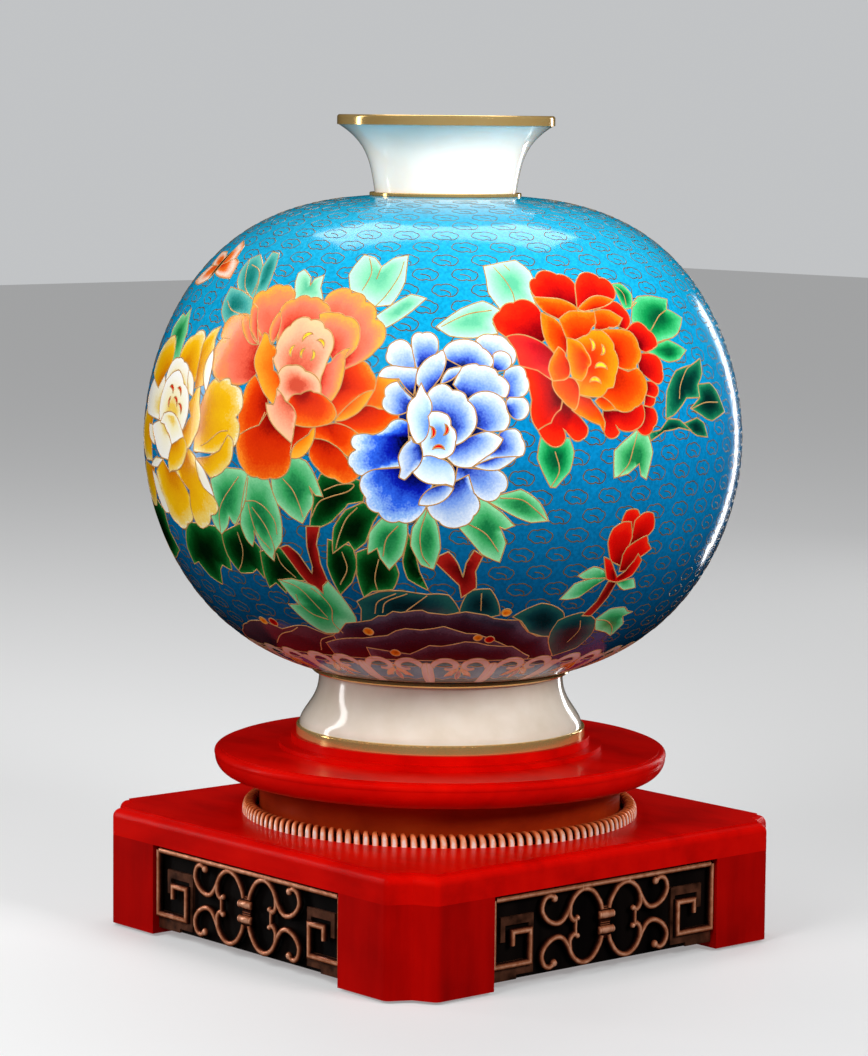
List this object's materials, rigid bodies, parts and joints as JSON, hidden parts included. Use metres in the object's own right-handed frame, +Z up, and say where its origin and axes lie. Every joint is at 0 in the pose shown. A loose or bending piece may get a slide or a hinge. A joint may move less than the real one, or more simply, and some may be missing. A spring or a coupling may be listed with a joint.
{
  "type": "cloisonne vase",
  "caption": "Globular cloisonne vase with a flared white neck and bell foot, standing on a round turntable on a square lacquered wooden base with copper openwork panels.",
  "frame": {"origin": "on the surface the stand rests on, under the axis of the vase", "axes": "+Z up along the vase's axis; the base's four faces are square to X and Y"},
  "size_m": [0.2, 0.2, 0.2746],
  "materials": {
    "turquoise_enamel": "polished",
    "blue_enamel": "gloss",
    "white_enamel": "polished",
    "gilt": "polished",
    "copper": "satin",
    "antique_copper": "satin",
    "dark_bronze": "satin",
    "red_lacquer": "satin",
    "black_wood": "matte",
    "plain_wood": "matte",
    "felt": "matte",
    "steel": "satin"
  },
  "bodies": {
    "stand": {"top_board": "red_lacquer", "gadrooned_ring": "antique_copper", "bearing_race_lower": "steel", "race_screws_lower": "steel", "bearing_balls": "steel", "pivot_bolt": "steel", "pivot_washer": "steel", "pivot_nut": "steel", "leg_dowels": "plain_wood", "foot_pads": "felt", "leg_front": "red_lacquer", "apron_front": "black_wood", "openwork_front": "antique_copper", "backing_front": "dark_bronze", "leg_right": "red_lacquer", "apron_right": "black_wood", "openwork_right": "antique_copper", "backing_right": "dark_bronze", "leg_rear": "red_lacquer", "apron_rear": "black_wood", "openwork_rear": "antique_copper", "backing_rear": "dark_bronze", "leg_left": "red_lacquer", "apron_left": "black_wood", "openwork_left": "antique_copper", "backing_left": "dark_bronze"},
    "turntable": {"turntable_disc": "red_lacquer", "turntable_hub": "red_lacquer", "bearing_race_upper": "steel", "race_screws_upper": "steel", "disc_dowels": "plain_wood"},
    "vase": {"copper_shell_upper": "copper", "copper_shell_lower": "copper", "copper_neck": "copper", "copper_foot": "copper", "body_enamel": "turquoise_enamel", "neck_enamel": "white_enamel", "foot_enamel": "white_enamel", "inner_lining": "blue_enamel", "underside_enamel": "blue_enamel", "lip_band": "gilt", "neck_ring": "gilt", "foot_bead": "gilt", "foot_band": "gilt"}
  },
  "joints": [
    {"name": "turntable_spin", "type": "hinge", "parent": "stand", "child": "turntable", "pos_m": [0, 0, 0.0392], "axis": [0, 0, 1], "continuous": true},
    {"name": "vase_lift", "type": "slide", "parent": "turntable", "child": "vase", "axis": [0, 0, 1], "range_m": [0, 0.12]}
  ]
}
